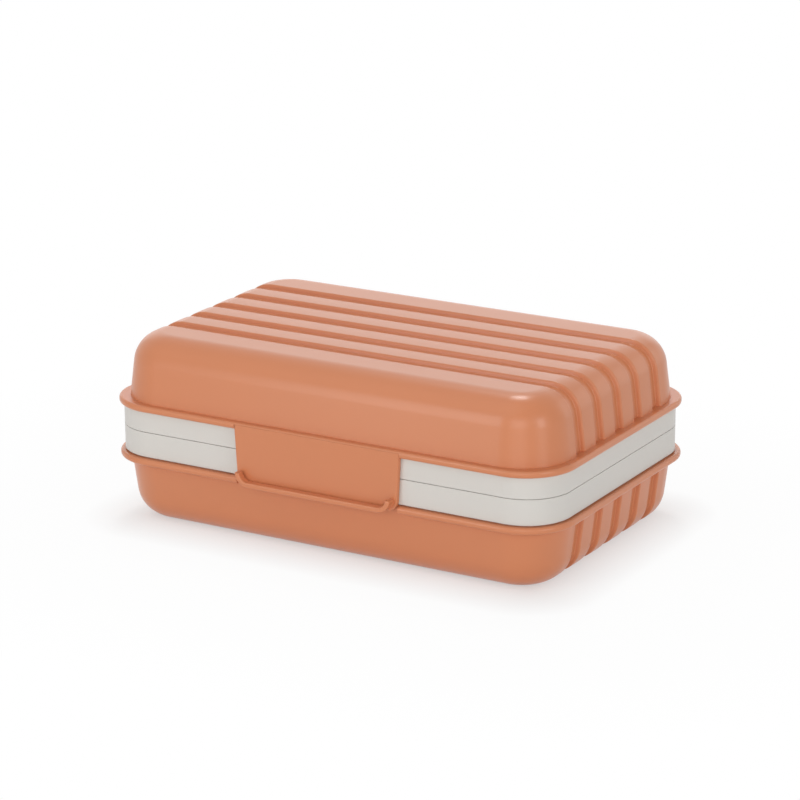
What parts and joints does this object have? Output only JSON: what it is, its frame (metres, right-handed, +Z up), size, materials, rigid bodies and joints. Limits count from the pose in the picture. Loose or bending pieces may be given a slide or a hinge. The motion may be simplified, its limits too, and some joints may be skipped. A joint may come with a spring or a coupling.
{
  "type": "travel soap box",
  "caption": "Suitcase-shaped travel soap box: two grooved, round-edged tubs with pale liner bands, a hinged lid, a front latch flap and a lift-out draining rack.",
  "frame": {"origin": "on the ground under the middle of the box", "axes": "+X along the length, +Y from the latch to the hinge, +Z up"},
  "size_m": [0.12, 0.0804, 0.045],
  "materials": {
    "shell_plastic": "satin moulded polypropylene, terracotta orange",
    "liner_plastic": "satin moulded polypropylene, pale warm grey",
    "rack_plastic": "satin moulded polypropylene, pale warm grey",
    "seal_silicone": "matt silicone, translucent grey",
    "pin_steel": "drawn stainless wire"
  },
  "bodies": {
    "base": {"base_shell": "shell_plastic", "base_liner": "liner_plastic", "hinge_pin_left": "pin_steel", "hinge_pin_right": "pin_steel"},
    "lid": {"lid_shell": "shell_plastic", "lid_liner": "liner_plastic", "seal_ring": "seal_silicone", "latch_pin": "pin_steel"},
    "latch": {"latch_flap": "shell_plastic"},
    "rack": {"soap_rack": "rack_plastic"}
  },
  "joints": [
    {"name": "lid_hinge", "type": "hinge", "parent": "base", "child": "lid", "pos_m": [0, 0.0383, 0.02316], "axis": [-1, 0, 0], "range_deg": [0, 120]},
    {"name": "latch_hinge", "type": "hinge", "parent": "lid", "child": "latch", "pos_m": [0, -0.03757, 0.02882], "axis": [-1, 0, 0], "range_deg": [0, 110]},
    {"name": "rack_lift", "type": "slide", "parent": "base", "child": "rack", "axis": [0, 0, 1], "range_m": [0, 0.022]}
  ]
}
